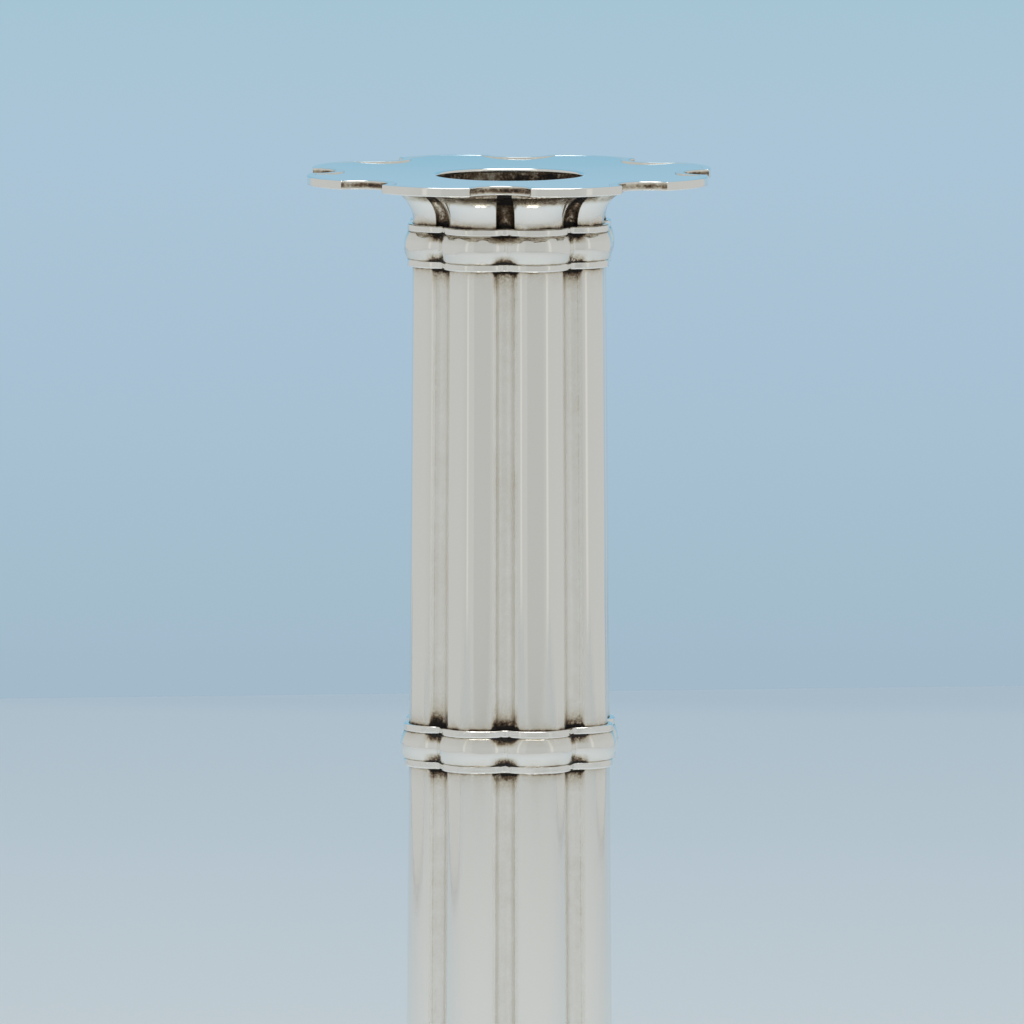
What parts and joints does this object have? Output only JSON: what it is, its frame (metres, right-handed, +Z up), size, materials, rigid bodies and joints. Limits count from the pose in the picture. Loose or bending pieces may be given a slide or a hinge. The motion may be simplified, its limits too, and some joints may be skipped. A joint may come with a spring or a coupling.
{
  "type": "candlestick",
  "caption": "Candlestick with a clustered lobed column, moulded collars, a flat scalloped drip pan round a sunken candle cup, and a spreading lobed foot.",
  "frame": {"origin": "centre of the plane that the foot stands on", "axes": "+Z up along the column's axis; a flute between two lobes faces -Y"},
  "size_m": [0.1012, 0.1012, 0.1905],
  "materials": {
    "pan_silver": "mirror-polished sterling silver with faint handling marks, brown patina in the rim's notches",
    "moulded_silver": "polished sterling silver, slightly uneven from the hammer, black-brown patina in grooves and flutes",
    "column_silver": "polished sterling silver with long soft tool lines and brown patina along the flutes",
    "cup_silver": "dull tarnished silver, lighter round the mouth",
    "foot_silver": "polished sterling silver with patina in the notches and joints"
  },
  "bodies": {
    "root": {"drip_pan": "pan_silver", "drip_pan_rim": "pan_silver", "candle_cup": "cup_silver", "cup_floor": "cup_silver", "capital": "moulded_silver", "top_collar_upper_wire": "moulded_silver", "top_collar_band": "moulded_silver", "top_collar_lower_wire": "moulded_silver", "upper_shaft": "column_silver", "middle_collar_upper_wire": "moulded_silver", "middle_collar_band": "moulded_silver", "middle_collar_lower_wire": "moulded_silver", "lower_shaft": "column_silver", "base_collar_upper_wire": "moulded_silver", "base_collar_band": "moulded_silver", "base_collar_lower_wire": "moulded_silver", "foot_flare": "moulded_silver", "foot_step": "foot_silver", "foot_plate": "foot_silver", "foot_rim_band": "foot_silver", "foot_base_wire": "foot_silver"}
  },
  "joints": []
}
